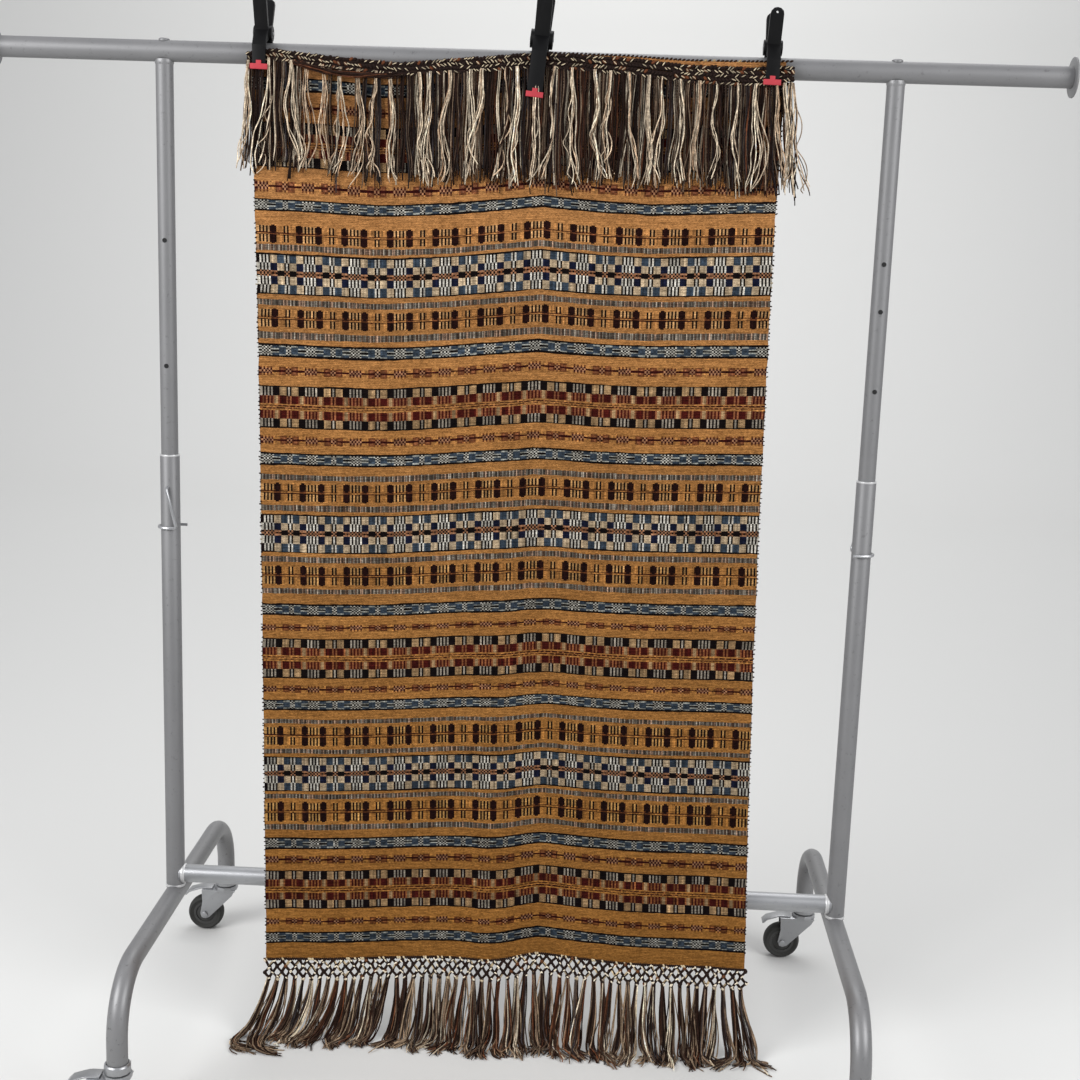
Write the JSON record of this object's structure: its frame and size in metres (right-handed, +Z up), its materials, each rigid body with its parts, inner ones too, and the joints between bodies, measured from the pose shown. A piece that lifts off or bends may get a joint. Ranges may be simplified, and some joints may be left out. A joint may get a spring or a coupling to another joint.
{
  "type": "woven rug hung on a clothes rack",
  "caption": "Banded block-weave rug with knotted fringes at both ends, hung by spring clamps from the rail of a wheeled tube clothes rack.",
  "frame": {"origin": "on the floor under the middle of the rack, between its casters, at the bottom centre of its box", "axes": "+Z up, X along the rail, Y from the rug's face towards its back; the rug hangs on the -Y side of the rail"},
  "size_m": [1.6366, 0.738, 1.7097],
  "materials": {
    "cloth": "woven wool in ochre with bands of blue, cream, dark brown and rust",
    "yarn": "loose twisted wool yarn, dark brown mixed with cream, rust and slate",
    "paint": "silver-grey satin paint, lightly scratched",
    "steel": "zinc-plated, satin",
    "tyre": "dark grey rubber tread on a grey hub",
    "plastic": "black moulded plastic, fine satin",
    "pad": "red soft plastic"
  },
  "bodies": {
    "root": {"base_tube_left": "paint", "base_tube_right": "paint", "caster_1_axle": "steel", "caster_1_collar": "steel", "caster_1_fork": "steel", "caster_1_lever": "steel", "caster_1_wheel": "tyre", "caster_2_axle": "steel", "caster_2_collar": "steel", "caster_2_fork": "steel", "caster_2_lever": "steel", "caster_2_wheel": "tyre", "caster_3_axle": "steel", "caster_3_collar": "steel", "caster_3_fork": "steel", "caster_3_lever": "steel", "caster_3_wheel": "tyre", "caster_4_axle": "steel", "caster_4_collar": "steel", "caster_4_fork": "steel", "caster_4_lever": "steel", "caster_4_wheel": "tyre", "clamp_left_back_arm": "plastic", "clamp_left_back_pad": "pad", "clamp_left_front_arm": "plastic", "clamp_left_front_pad": "pad", "clamp_left_pivot": "steel", "clamp_middle_back_arm": "plastic", "clamp_middle_back_pad": "pad", "clamp_middle_front_arm": "plastic", "clamp_middle_front_pad": "pad", "clamp_middle_pivot": "steel", "clamp_right_back_arm": "plastic", "clamp_right_back_pad": "pad", "clamp_right_front_arm": "plastic", "clamp_right_front_pad": "pad", "clamp_right_pivot": "steel", "crossbar": "steel", "fringe_bottom": "yarn", "fringe_top": "yarn", "lock_wire_left": "steel", "lock_wire_right": "steel", "rail": "paint", "rail_disc_left": "paint", "rail_disc_right": "paint", "rail_screw_left": "paint", "rail_screw_right": "paint", "rug": "cloth", "upright_lower_left": "paint", "upright_lower_right": "paint", "upright_upper_left": "paint", "upright_upper_right": "paint"}
  },
  "joints": []
}
